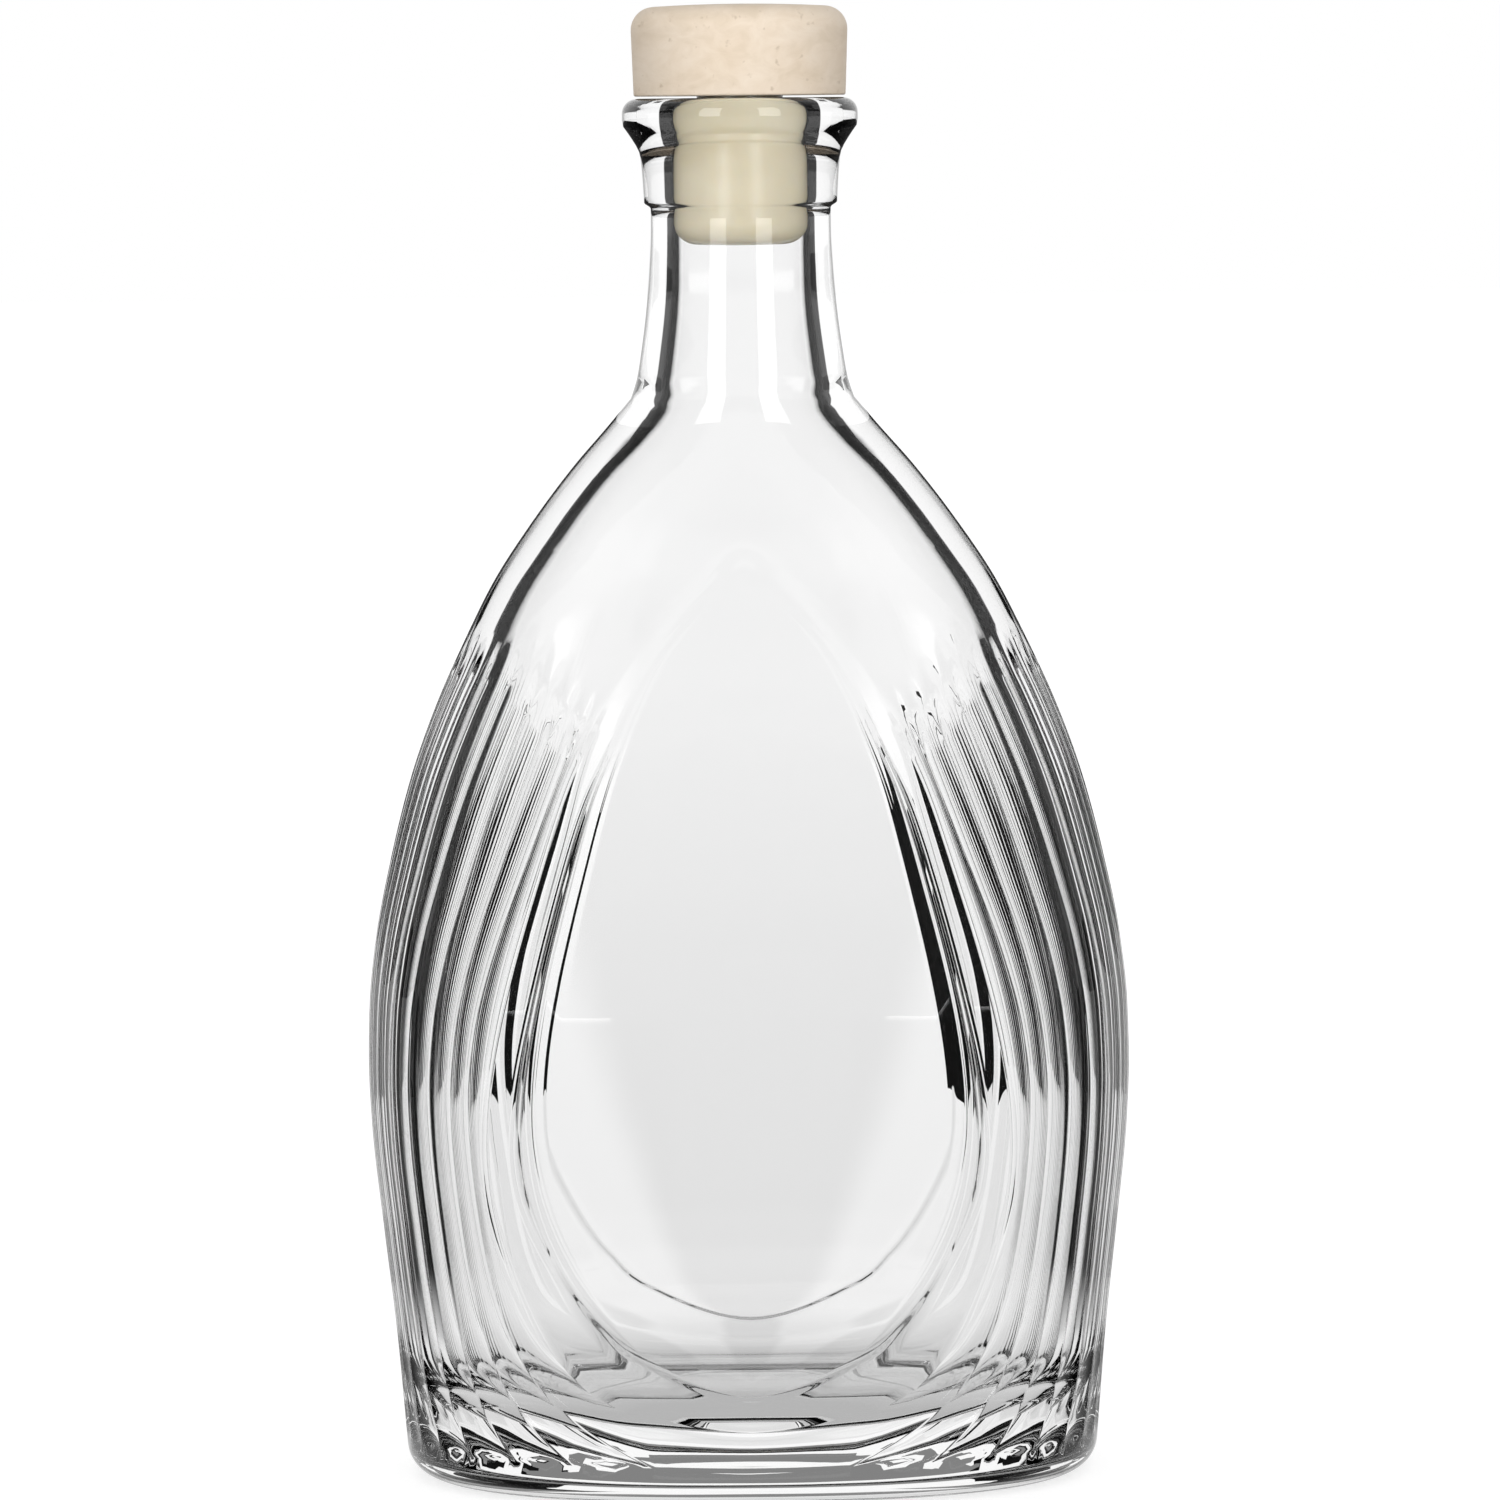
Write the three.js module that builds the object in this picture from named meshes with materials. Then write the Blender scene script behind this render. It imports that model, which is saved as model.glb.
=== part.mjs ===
import * as THREE from "three";
import { mergeVertices } from "three/addons/utils/BufferGeometryUtils.js";

// Clear glass bottle with a flattened fluted body, and its wooden-topped stopper.
// Millimetres, +Z up, X across the wide face, the front panel looks towards -Y.

// Glass body
const BODY_WIDTH = 107.2; // widest place, across X
const BODY_DEPTH = 68; // thickest place, across Y
const NECK_ROOT_Z = 151; // where the shoulder turns into the neck
const NECK_ROOT_RADIUS = 15.6;
const HEEL_HEIGHT = 5.6; // plain band under the flutes
const HEEL_RADIUS = 4; // rounding from the band to the resting face
const FOOT_RING = 5; // width of the flat that the bottle rests on
const PUNT_HEIGHT = 1.2; // hollow under the base
const PUNT_SLOPE = 2.2; // width of the slope up into that hollow
const WALL = 3.5;
const BASE_THICKNESS = 10.5;
const FLOOR_RADIUS = 9; // rounding between inner floor and inner wall

// Neck and lip
const NECK_RADIUS = 12.55;
const COLLAR_Z = 177.4; // step up to the thicker finish
const COLLAR_STEP = 0.8; // height of that step
const COLLAR_RADIUS = 13.45;
const LIP_RADIUS = 16.42;
const LIP_HEIGHT = 7.2; // flare and rounded lip, down from the top
const GLASS_HEIGHT = 192.6;
const LIP_ROUND = 2.1; // rounding of the lip's upper edge
const MOUTH_CHAMFER = 0.8;

// Flutes and panel
const FLUTE_DEPTH = 0.62;
const FLUTE_FULL_WIDTH = 4; // a flute this wide or wider is cut to the full depth
const FLUTE_RUN_OUT = 1; // length of the end above the plain band
const TIP_LENGTH = 6; // length of the pointed upper end
const TIP_RISE = 11; // how much higher the flutes at the side reach
const PANEL_WIDTH = 62.6;
const PANEL_BOTTOM = 15.3;
const PANEL_HEIGHT = 112.7;
const PANEL_DEPTH = 0.95;
const PANEL_STEP = 1.3; // width of the steep edge around the panel
const BAND_WIDTH = 5.2; // sloping band between panel and flutes, at the side

// Stopper
const PLUG_RADIUS = 9.3;
const PLUG_LENGTH = 20.4;
const PLUG_TIP_RADIUS = 3.2;
const PLUG_GROOVE = 0.35;
const PLUG_GROOVE_WIDTH = 2;
const PLUG_GROOVE_DROP = 3; // from the top of the shank to the groove
const SPIGOT_RADIUS = 6;
const SPIGOT_LENGTH = 6;
const CAP_HEIGHT = 12.7;
const CAP_RADIUS = 15.07;
const CAP_TAPER = 0.3; // the cap is this much narrower at its lower edge
const CAP_LOWER_EDGE = 0.3;
const CAP_ROUND = 3.2;
const CAP_CROWN = 0.35; // rise of the top face in its middle

// Clearances
const PLUG_CLEARANCE = 0.3; // shank to bore, radial
const SEAT_CLEARANCE = 0.3; // cap to lip, and shank to cap
const SPIGOT_CLEARANCE = 0.3;

const BORE_RADIUS = PLUG_RADIUS + PLUG_CLEARANCE;
const CAP_BOTTOM = GLASS_HEIGHT + SEAT_CLEARANCE;
const SHANK_TOP = CAP_BOTTOM - SEAT_CLEARANCE;

// A smooth rising or falling line through a few stations, without overshoot.
function through(stations, column) {
  const x = stations.map((s) => s[0]);
  const y = stations.map((s) => s[column]);
  const slope = x.slice(1).map((v, i) => (y[i + 1] - y[i]) / (v - x[i]));
  const tangent = x.map((v, i) => {
    if (i === 0) return slope[0];
    if (i === x.length - 1) return slope[i - 1];
    const [p, q] = [slope[i - 1], slope[i]];
    return p * q <= 0 ? 0 : (2 * p * q) / (p + q);
  });
  return (v) => {
    if (v <= x[0]) return y[0];
    if (v >= x[x.length - 1]) return y[x.length - 1];
    let i = 0;
    while (v > x[i + 1]) i++;
    const w = x[i + 1] - x[i];
    const t = (v - x[i]) / w;
    const [t2, t3] = [t * t, t * t * t];
    return y[i] * (2 * t3 - 3 * t2 + 1) + w * tangent[i] * (t3 - 2 * t2 + t) +
      y[i + 1] * (3 * t2 - 2 * t3) + w * tangent[i + 1] * (t3 - t2);
  };
}
const ease = (t) => {
  const c = Math.min(1, Math.max(0, t));
  return c * c * (3 - 2 * c);
};
const mix = (a, b, t) => a + (b - a) * t;

// Side and front outline of the body: share of the height up to the neck root, how far the half
// width and half depth lie between the neck's radius and the widest place, and squareness.
const BODY_SHAPE = [
  [0, 0.868, 0.837, 2.4],
  [0.136, 0.911, 0.913, 2.4],
  [0.232, 0.953, 0.967, 2.4],
  [0.331, 0.992, 1, 2.4],
  [0.384, 1, 1, 2.4],
  [0.437, 0.995, 0.989, 2.4],
  [0.497, 0.971, 0.957, 2.38],
  [0.576, 0.908, 0.88, 2.34],
  [0.649, 0.832, 0.783, 2.3],
  [0.715, 0.737, 0.652, 2.25],
  [0.775, 0.629, 0.511, 2.2],
  [0.831, 0.516, 0.37, 2.15],
  [0.887, 0.368, 0.217, 2.1],
  [0.937, 0.216, 0.098, 2.05],
  [0.974, 0.087, 0.03, 2],
  [1, 0, 0, 2],
];
const NECK_SHAPE = [[0, 1], [0.1, 0.72], [0.25, 0.5], [0.45, 0.27], [0.68, 0.09], [0.9, 0], [1, 0]];
const FINISH_SHAPE = [[0, 0], [0.35, 0.09], [0.55, 0.19], [0.74, 0.6], [0.9, 1], [1, 1]];
const shareWidth = through(BODY_SHAPE, 1);
const shareDepth = through(BODY_SHAPE, 2);
const shareSquare = through(BODY_SHAPE, 3);
const neckTaper = through(NECK_SHAPE, 1);
const finishFlare = through(FINISH_SHAPE, 1);

// Radius of the round part above the neck root.
function neckRadius(z) {
  if (z <= COLLAR_Z) {
    const t = (z - NECK_ROOT_Z) / (COLLAR_Z - NECK_ROOT_Z);
    return mix(NECK_RADIUS, NECK_ROOT_RADIUS, neckTaper(t));
  }
  const foot = COLLAR_Z + COLLAR_STEP;
  if (z <= foot) return mix(NECK_RADIUS, COLLAR_RADIUS, (z - COLLAR_Z) / COLLAR_STEP);
  const flare = finishFlare((z - foot) / (GLASS_HEIGHT - LIP_ROUND - foot));
  const rounding = Math.max(0, z - (GLASS_HEIGHT - LIP_ROUND));
  return mix(COLLAR_RADIUS, LIP_RADIUS, flare) -
    (LIP_ROUND - Math.sqrt(Math.max(0, LIP_ROUND ** 2 - rounding ** 2)));
}
// Half width, half depth and squareness of the outside at a height, without flutes.
function section(z) {
  if (z >= NECK_ROOT_Z) return [neckRadius(z), neckRadius(z), 2];
  const t = z / NECK_ROOT_Z;
  const below = Math.max(0, HEEL_RADIUS - z);
  const tuck = HEEL_RADIUS - Math.sqrt(HEEL_RADIUS ** 2 - below ** 2);
  return [
    mix(NECK_ROOT_RADIUS, BODY_WIDTH / 2, shareWidth(t)) - tuck,
    mix(NECK_ROOT_RADIUS, BODY_DEPTH / 2, shareDepth(t)) - tuck,
    shareSquare(t),
  ];
}
// Point of an outline at an angle: 0 is the middle of the front, 90 the side.
function onOutline([a, b, n], angle, z) {
  const r = THREE.MathUtils.degToRad(angle);
  const s = angle <= 0 ? 0 : Math.sin(r);
  const c = angle >= 90 ? 0 : Math.cos(r);
  const k = (s ** n + c ** n) ** (-1 / n);
  return new THREE.Vector3(a * s * k, -b * c * k, z);
}
// The angle at which an outline reaches a distance from the middle plane.
function angleAt(x, z) {
  const [a, , n] = section(z);
  const u = Math.min(x / a, 0.9999);
  return THREE.MathUtils.radToDeg(Math.atan2(u, (1 - u ** n) ** (1 / n)));
}
// A point of the outside, sunk by a depth square to the surface.
function outside(angle, z, depth = 0) {
  const p = onOutline(section(z), angle, z);
  if (depth === 0) return p;
  const up = onOutline(section(z + 0.5), angle, z + 0.5).sub(onOutline(section(z - 0.5), angle, z - 0.5));
  const [lo, hi] = [Math.max(0, angle - 0.5), Math.min(90, angle + 0.5)];
  const along = onOutline(section(z), hi, z).sub(onOutline(section(z), lo, z));
  const normal = along.cross(up).normalize();
  if (angle <= 0) normal.x = 0;
  if (angle >= 90) normal.y = 0;
  return p.addScaledVector(normal.normalize(), -depth);
}

// Panel edge from its bottom round the side to its point: share of the half width, share of the
// height, and width of the band outside it as a share of the band at the side.
const PANEL_SHAPE = [
  [0, 0, 0.87],
  [0.476, 0.047, 1.42],
  [0.652, 0.088, 1.5],
  [0.767, 0.128, 1.44],
  [0.856, 0.17, 1.3],
  [0.933, 0.215, 1.15],
  [0.984, 0.264, 1.05],
  [1, 0.326, 1],
  [0.968, 0.414, 0.97],
  [0.888, 0.521, 0.92],
  [0.776, 0.636, 0.83],
  [0.681, 0.72, 0.8],
  [0.594, 0.778, 0.77],
  [0.479, 0.845, 0.65],
  [0.351, 0.902, 0.55],
  [0.192, 0.951, 0.5],
  [0, 1, 0.35],
];
const PANEL_END = PANEL_SHAPE.length - 1;
function panelStation(i) {
  const [w, h, band] = PANEL_SHAPE[i < 0 ? -i : i > PANEL_END ? 2 * PANEL_END - i : i];
  return [i < 0 || i > PANEL_END ? -w : w, h, band];
}
// Place t of the panel edge: x, height, outward direction and band width.
function panelEdge(t) {
  const i = Math.min(Math.floor(t), PANEL_END - 1);
  const f = t - i;
  const four = [-1, 0, 1, 2].map((k) => panelStation(i + k));
  const blend = [0, 1, 2].map((c) => {
    const [p0, p1, p2, p3] = four.map((s) => s[c]);
    const [m1, m2] = [(p2 - p0) / 2, (p3 - p1) / 2];
    const v = p1 * (2 * f ** 3 - 3 * f * f + 1) + m1 * (f ** 3 - 2 * f * f + f) +
      p2 * (3 * f * f - 2 * f ** 3) + m2 * (f ** 3 - f * f);
    const d = (p2 - p1) * (6 * f - 6 * f * f) + m1 * (3 * f * f - 4 * f + 1) + m2 * (3 * f * f - 2 * f);
    return [v, d];
  });
  const x = t <= 0 || t >= PANEL_END ? 0 : (PANEL_WIDTH / 2) * blend[0][0];
  const z = PANEL_BOTTOM + PANEL_HEIGHT * blend[1][0];
  const dir = new THREE.Vector2(PANEL_HEIGHT * blend[1][1], (-PANEL_WIDTH / 2) * blend[0][1]).normalize();
  if (t <= 0 || t >= PANEL_END) dir.x = 0;
  return { x, z, dir, band: BAND_WIDTH * blend[2][0] };
}
const panelFloor = (z) => PANEL_DEPTH * mix(1, 0.25, ease((z - PANEL_BOTTOM) / PANEL_HEIGHT * 2.2 - 1.2));
// A place beside the panel edge, at an offset outwards along the glass.
function besidePanel(t, offset) {
  const { x, z, dir } = panelEdge(t);
  const zz = z + dir.y * offset;
  return [angleAt(Math.max(0, x + dir.x * offset), zz), zz];
}

// Ridges between the flutes: angle at the plain band and angle at mid height.
const RIDGES = [
  [15.5, 43.1],
  [28.5, 46.6],
  [38.8, 51.3],
  [48.3, 57.2],
  [57, 63.4],
  [65.3, 70],
  [73.6, 76.7],
  [81.8, 83.4],
  [90, 90],
];
const MID_PLACE = 7; // station of the panel edge where the ridges stand upright
const BEND = 10; // height over which the ridges swing towards the middle at the foot
const TIP_PLACE = 12.55; // place of the panel edge where the flutes end
const [midAngle, midZ] = besidePanel(MID_PLACE, panelEdge(MID_PLACE).band);
const [tipAngle, tipZ] = besidePanel(TIP_PLACE, panelEdge(TIP_PLACE).band);

const ROWS_UNDER = [0, 0.4, 0.8];
const ROWS_FLUTED = [1.2, 1.6, 2, 3, 4, 5, 6, 7, 8, 9, 10, 11, 11.9, 12.25, TIP_PLACE];
const ROWS_OVER = [13.2, 14, 15, 16];
const FIRST = ROWS_UNDER.length - 1; // the row whose first ridge stands on the plain band
const rows = [...ROWS_UNDER, ...ROWS_FLUTED, ...ROWS_OVER];
const bandOuter = rows.map((t) => besidePanel(t, panelEdge(t).band));
const TIP_ROW = ROWS_UNDER.length + ROWS_FLUTED.length - 1;

// Ridge k on row j: its angle and height.
function ridge(k, j) {
  const [foot, mid] = RIDGES[k];
  const share = (mid - midAngle) / (90 - midAngle);
  const [bandAngle, bandZ] = bandOuter[j];
  const tip = mix(tipAngle, 90, share);
  const top = tipZ + TIP_RISE * ease((tip - tipAngle) / 25);
  if (j <= TIP_ROW) {
    const start = bandOuter[FIRST][1];
    const z = mix(HEEL_HEIGHT, top, (bandZ - start) / (tipZ - start));
    const swing = (h) => 1 - Math.exp(-(h - HEEL_HEIGHT) / BEND);
    if (z < midZ) return [mix(foot, mid, swing(z) / swing(midZ)), z];
    const fall = (z - midZ) / (top - midZ);
    const upper = mix(midAngle, tipAngle, ease(fall * 0.75 + 0.08 * fall) / ease(0.83));
    return [mix(upper, 90, share), z];
  }
  const apex = bandOuter[rows.length - 1][1];
  const rise = (bandZ - tipZ) / (apex - tipZ);
  return [mix(bandAngle, 90, share), mix(top, apex + 1.5 * share, rise)];
}

const SEGMENTS = 4; // facets across a flute
// Points strictly between two ridge places, sunk as a scallop.
function scallop([a0, z0], [a1, z1], fullness) {
  const width = outside(a0, z0).distanceTo(outside(a1, z1));
  const deep = FLUTE_DEPTH * Math.min(1, width / FLUTE_FULL_WIDTH);
  const list = [];
  for (let s = 1; s < SEGMENTS; s++) {
    const t = s / SEGMENTS;
    const depth = deep * Math.max(0, fullness - (2 * t - 1) ** 2);
    list.push(outside(mix(a0, a1, t), mix(z0, z1, t), depth));
  }
  return list;
}

// One row of the front right quarter, from the middle of the panel to the side.
const PANEL_COLUMNS = 3;
function row(j, fluted) {
  const t = rows[j];
  const edge = panelEdge(t);
  const floor = panelFloor(edge.z);
  const edgeAngle = angleAt(edge.x, edge.z);
  const middle = PANEL_BOTTOM + PANEL_HEIGHT * ease(t / PANEL_END) ** 1.1;
  const midHeight = t <= 0 ? edge.z : t >= PANEL_END ? edge.z : middle;
  const list = [];
  for (let c = 0; c <= PANEL_COLUMNS; c++) {
    const s = c / PANEL_COLUMNS;
    const z = mix(midHeight, edge.z, s);
    list.push(outside(edgeAngle * s, z, panelFloor(z)));
  }
  const stepWidth = Math.min(PANEL_STEP, edge.band * 0.4);
  list.push(outside(...besidePanel(t, stepWidth), floor * 0.4));
  const inner = bandOuter[j];
  list.push(outside(...inner));
  const bandAt = list.length - 1;
  const places = [inner];
  if (j < FIRST) places.push([RIDGES[0][0] * (j / FIRST), HEEL_HEIGHT]);
  else RIDGES.forEach((r, k) => places.push(ridge(k, j)));
  places.slice(1).forEach((place, k) => {
    if (fluted) {
      const z = place[1];
      const fromTip = (tipZ - inner[1]) / TIP_LENGTH;
      const foot = k === 0 ? 1 : ease((z - HEEL_HEIGHT) / FLUTE_RUN_OUT);
      list.push(...scallop(places[k], place, Math.min(Math.min(1, Math.max(0, fromTip)), foot)));
    }
    list.push(outside(...place));
  });
  return { list, bandAt, firstRidge: bandAt + SEGMENTS };
}

const soup = [];
function tri(a, b, c) {
  if (a.distanceTo(b) < 1e-6 || b.distanceTo(c) < 1e-6 || c.distanceTo(a) < 1e-6) return;
  soup.push([a, b, c]);
}
// Skin between two rows that run the same way; the counts may differ.
function skin(lower, upper) {
  if (lower.length === upper.length) {
    for (let i = 0; i + 1 < lower.length; i++) {
      tri(lower[i], lower[i + 1], upper[i + 1]);
      tri(lower[i], upper[i + 1], upper[i]);
    }
    return;
  }
  const share = (list) => {
    const sums = [0];
    list.slice(1).forEach((p, i) => sums.push(sums[i] + p.distanceTo(list[i])));
    return sums.map((s) => s / sums[sums.length - 1]);
  };
  const [su, sv] = [share(lower), share(upper)];
  let [i, k] = [0, 0];
  while (i + 1 < lower.length || k + 1 < upper.length) {
    const down = i + 1 < lower.length ? su[i + 1] : 2;
    const over = k + 1 < upper.length ? sv[k + 1] : 2;
    if (down <= over) {
      tri(lower[i], lower[i + 1], upper[k]);
      i++;
    } else {
      tri(lower[i], upper[k + 1], upper[k]);
      k++;
    }
  }
}

// Fluted body and panel
const fine = rows.map((t, j) => row(j, j <= TIP_ROW));
for (let j = 0; j < TIP_ROW; j++) {
  const end = j < FIRST ? fine[j].firstRidge + 1 : fine[j].list.length;
  skin(fine[j].list.slice(0, end), fine[j + 1].list.slice(0, end));
}
// Shoulder up to the panel's point
for (let j = TIP_ROW; j + 1 < rows.length; j++) {
  const [low, high] = [fine[j], fine[j + 1]];
  skin(low.list.slice(0, low.bandAt + 1), high.list.slice(0, high.bandAt + 1));
  skin(low.list.slice(low.bandAt), high.list.slice(high.bandAt));
}
const last = fine[rows.length - 1];
const ringAngles = [0, ...RIDGES.map((r) => mix(0, 90, (r[1] - midAngle) / (90 - midAngle)))];
const ring = (sec, z) => ringAngles.map((angle) => onOutline(sec, angle, z));

// Shoulder, neck, finish and lip
const apexZ = bandOuter[rows.length - 1][1];
const finishFoot = COLLAR_Z + COLLAR_STEP;
const outerHeights = [
  ...[0.2, 0.45, 0.7, 0.87].map((t) => mix(apexZ, NECK_ROOT_Z, t)),
  NECK_ROOT_Z,
  ...[0.1, 0.27, 0.5, 0.75, 1].map((t) => mix(NECK_ROOT_Z, COLLAR_Z, t)),
  finishFoot,
  ...[0.35, 0.55, 0.72, 0.86].map((t) => mix(finishFoot, GLASS_HEIGHT - LIP_ROUND, t)),
  ...[0, 0.5, 0.8, 0.95].map((t) => GLASS_HEIGHT - LIP_ROUND * (1 - t)),
];
let below = last.list.slice(last.bandAt);
for (const z of outerHeights) {
  const next = ring(section(z), z);
  skin(below, next);
  below = next;
}

// Inside of the glass
function inner(z) {
  const round = Math.max(0, BASE_THICKNESS + FLOOR_RADIUS - z);
  const tuck = FLOOR_RADIUS - Math.sqrt(Math.max(0, FLOOR_RADIUS ** 2 - round ** 2));
  const [s, up, down] = [section(z), section(z + 1), section(z - 1)];
  const thick = (i) => WALL * Math.hypot(1, z < NECK_ROOT_Z ? (up[i] - down[i]) / 2 : 0);
  const a = s[0] - thick(0) - tuck;
  const b = s[1] - thick(1) - tuck;
  return [Math.max(BORE_RADIUS, a), Math.max(BORE_RADIUS, b), s[2]];
}
const boreFoot = GLASS_HEIGHT - PLUG_LENGTH - 2;
const innerHeights = [
  boreFoot,
  ...[0.7, 0.4, 0.18].map((t) => mix(NECK_ROOT_Z, boreFoot, t)),
  ...[1, 0.97, 0.93, 0.885, 0.83, 0.77, 0.7, 0.62, 0.53, 0.44, 0.36, 0.27, 0.18].map((t) => t * NECK_ROOT_Z),
  ...[1, 0.62, 0.32, 0.12, 0.02].map((t) => BASE_THICKNESS + FLOOR_RADIUS * t),
];
const round = (r) => [r, r, 2];
const top = ring(round(LIP_RADIUS - LIP_ROUND), GLASS_HEIGHT);
skin(below, top);
const mouth = ring(round(BORE_RADIUS + MOUTH_CHAMFER), GLASS_HEIGHT);
skin(top, mouth);
below = ring(round(BORE_RADIUS), GLASS_HEIGHT - MOUTH_CHAMFER);
skin(mouth, below);
for (const z of innerHeights) {
  const next = ring(inner(z), z);
  skin(below, next);
  below = next;
}
skin(below, ring([0, 0, 2], BASE_THICKNESS));

// Heel, resting face and hollow under the base
const heelLine = [
  ...fine.slice(0, FIRST).map((r) => r.list[r.firstRidge]),
  ...fine[FIRST].list.slice(fine[FIRST].firstRidge),
];
const heelAngles = [0, 12, 23, 34, 44, 54, 63, 72, 81, 90];
const heelRing = (sec, z) => heelAngles.map((angle) => onOutline(sec, angle, z));
const foot = section(0);
const shrink = (by) => [foot[0] - by, foot[1] - by, foot[2]];
const heelRings = [
  heelRing([0, 0, 2], PUNT_HEIGHT),
  heelRing(shrink(FOOT_RING + PUNT_SLOPE), PUNT_HEIGHT),
  heelRing(shrink(FOOT_RING), 0),
  ...[0, 0.1, 0.3, 0.62, 1].map((t) => heelRing(section(HEEL_RADIUS * t), HEEL_RADIUS * t)),
];
heelRings.slice(1).forEach((r, i) => skin(heelRings[i], r));
skin(heelRings[heelRings.length - 1], heelLine);

// The other three quarters are mirror images.
const coordinates = [];
for (const [sx, sy] of [[1, 1], [-1, 1], [1, -1], [-1, -1]]) {
  for (const t of soup) {
    const [a, b, c] = sx * sy > 0 ? t : [t[0], t[2], t[1]];
    for (const p of [a, b, c]) {
      const x = Math.abs(p.x) < 1e-7 ? 0 : p.x * sx;
      const y = Math.abs(p.y) < 1e-7 ? 0 : p.y * sy;
      coordinates.push(x, y, p.z);
    }
  }
}
const bottleShape = new THREE.BufferGeometry();
bottleShape.setAttribute("position", new THREE.Float32BufferAttribute(coordinates, 3));

// Turned pieces: profile points are radius and height, from the axis round to the axis.
function turned(points, sides) {
  const g = new THREE.LatheGeometry(points.map(([r, z]) => new THREE.Vector2(r, z)), sides);
  g.rotateX(Math.PI / 2);
  g.deleteAttribute("normal");
  g.deleteAttribute("uv");
  return g;
}
function arc(cx, cz, radius, from, to, steps) {
  return Array.from({ length: steps + 1 }, (_, i) => {
    const angle = THREE.MathUtils.degToRad(mix(from, to, i / steps));
    return [cx + radius * Math.cos(angle), cz + radius * Math.sin(angle)];
  });
}

// Stopper cap
const capTop = CAP_BOTTOM + CAP_HEIGHT;
const recess = SPIGOT_RADIUS + SPIGOT_CLEARANCE;
const recessTop = SHANK_TOP + SPIGOT_LENGTH + SPIGOT_CLEARANCE;
const capRim = capTop - CAP_CROWN - CAP_ROUND;
const capProfile = [
  [0, recessTop],
  [recess, recessTop],
  [recess, CAP_BOTTOM],
  [CAP_RADIUS - CAP_TAPER - CAP_LOWER_EDGE, CAP_BOTTOM],
  [CAP_RADIUS - CAP_TAPER, CAP_BOTTOM + CAP_LOWER_EDGE],
  ...arc(CAP_RADIUS - CAP_ROUND, capRim, CAP_ROUND, 0, 84, 6),
  [(CAP_RADIUS - CAP_ROUND) * 0.55, capTop - CAP_CROWN * 0.3],
  [0, capTop],
];

// Stopper shank with its spigot
const shankBottom = SHANK_TOP - PLUG_LENGTH;
const grooveTop = SHANK_TOP - PLUG_GROOVE_DROP;
const plugProfile = [
  [0, shankBottom],
  ...arc(PLUG_RADIUS - PLUG_TIP_RADIUS, shankBottom + PLUG_TIP_RADIUS, PLUG_TIP_RADIUS, -90, 0, 5),
  [PLUG_RADIUS, grooveTop - PLUG_GROOVE_WIDTH],
  [PLUG_RADIUS - PLUG_GROOVE, grooveTop - PLUG_GROOVE_WIDTH + PLUG_GROOVE],
  [PLUG_RADIUS - PLUG_GROOVE, grooveTop - PLUG_GROOVE],
  [PLUG_RADIUS, grooveTop],
  [PLUG_RADIUS, SHANK_TOP],
  [SPIGOT_RADIUS, SHANK_TOP],
  [SPIGOT_RADIUS, SHANK_TOP + SPIGOT_LENGTH],
  [0, SHANK_TOP + SPIGOT_LENGTH],
];

const glass = new THREE.MeshStandardMaterial({ color: 0xdfe6e4, roughness: 0.05 });
const wood = new THREE.MeshStandardMaterial({ color: 0xcbb08c, roughness: 0.7 });
const cork = new THREE.MeshStandardMaterial({ color: 0xe0d8bd, roughness: 0.6 });

const part = new THREE.Group();
function add(name, geometry, material) {
  const mesh = new THREE.Mesh(geometry, material);
  mesh.name = name;
  part.add(mesh);
}
add("bottle", mergeVertices(bottleShape, 1e-5), glass);
add("stopper_cap", turned(capProfile, 48), wood);
add("stopper_plug", turned(plugProfile, 48), cork);

export default part;
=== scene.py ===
import bpy, math
import numpy as np
from mathutils import Matrix, Vector


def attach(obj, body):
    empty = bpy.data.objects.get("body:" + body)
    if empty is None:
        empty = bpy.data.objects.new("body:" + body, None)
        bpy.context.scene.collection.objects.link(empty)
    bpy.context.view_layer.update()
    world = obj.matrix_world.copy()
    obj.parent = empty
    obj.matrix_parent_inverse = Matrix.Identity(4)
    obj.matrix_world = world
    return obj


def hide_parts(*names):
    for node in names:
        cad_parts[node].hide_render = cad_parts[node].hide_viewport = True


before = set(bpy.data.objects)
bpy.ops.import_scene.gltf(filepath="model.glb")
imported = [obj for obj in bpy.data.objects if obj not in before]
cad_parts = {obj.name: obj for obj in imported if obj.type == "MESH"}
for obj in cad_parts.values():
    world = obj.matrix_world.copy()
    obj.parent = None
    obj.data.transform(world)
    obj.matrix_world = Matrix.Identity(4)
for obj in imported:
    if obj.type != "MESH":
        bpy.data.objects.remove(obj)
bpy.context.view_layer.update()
scene = bpy.context.scene

# Sizes of the part, in millimetres, as in its source but for these: the body is 0.3 less wide and 0.1 less
# deep, the flutes are 0.17 shallower, the panel's edge is 0.39 narrower, the cap's radius is 0.02 smaller,
# and two depths of BODY_SHAPE beside its deepest place differ by 0.003 and 0.001.
BODY_WIDTH, BODY_DEPTH = 106.9, 67.9
NECK_ROOT_Z, NECK_ROOT_RADIUS = 151.0, 15.6
HEEL_HEIGHT, HEEL_RADIUS = 5.6, 4.0
FOOT_RING, PUNT_HEIGHT, PUNT_SLOPE = 5.0, 1.2, 2.2
WALL, BASE_THICKNESS, FLOOR_RADIUS = 3.5, 10.5, 9.0
NECK_RADIUS, COLLAR_Z, COLLAR_STEP, COLLAR_RADIUS = 12.55, 177.4, 0.8, 13.45
LIP_RADIUS, GLASS_HEIGHT, LIP_ROUND, MOUTH_CHAMFER = 16.42, 192.6, 2.1, 0.8
FLUTE_DEPTH, FLUTE_FULL_WIDTH, FLUTE_RUN_OUT = 0.45, 4.0, 1.0
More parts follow.
